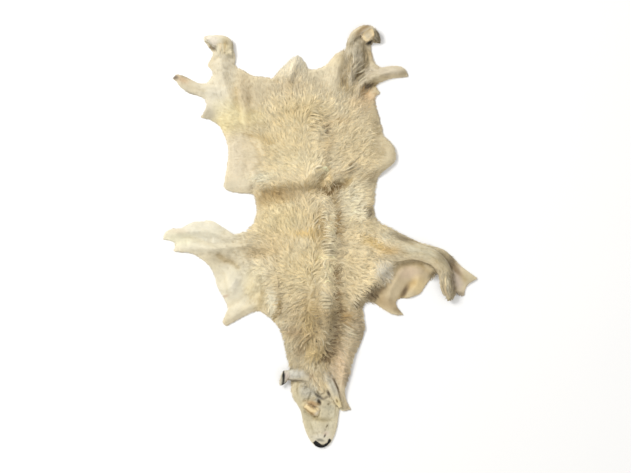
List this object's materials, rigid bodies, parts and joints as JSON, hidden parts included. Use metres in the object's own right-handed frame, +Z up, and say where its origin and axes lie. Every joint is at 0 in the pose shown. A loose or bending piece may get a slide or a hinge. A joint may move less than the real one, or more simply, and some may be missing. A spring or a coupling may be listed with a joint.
{
  "type": "mountain goat pelt",
  "caption": "Whole pelt of a mountain goat, tanned with the hair on and laid flat hair side up, with split legs, tail, neck and face skin.",
  "frame": {"origin": "on the floor, under the middle of the pelt's footprint", "axes": "+Y from the nose towards the tail, +X to the right seen from above with the tail away, +Z up"},
  "size_m": [1.1, 1.4755, 0.043],
  "materials": {
    "coat": "dense cream hair, soft and matt, wavy wool along the back",
    "bare_skin": "dry tanned skin, flesh side and thin-haired places",
    "nose_skin": "dark dry nose leather, low gloss"
  },
  "bodies": {
    "root": {"pelt": "coat"}
  },
  "joints": []
}
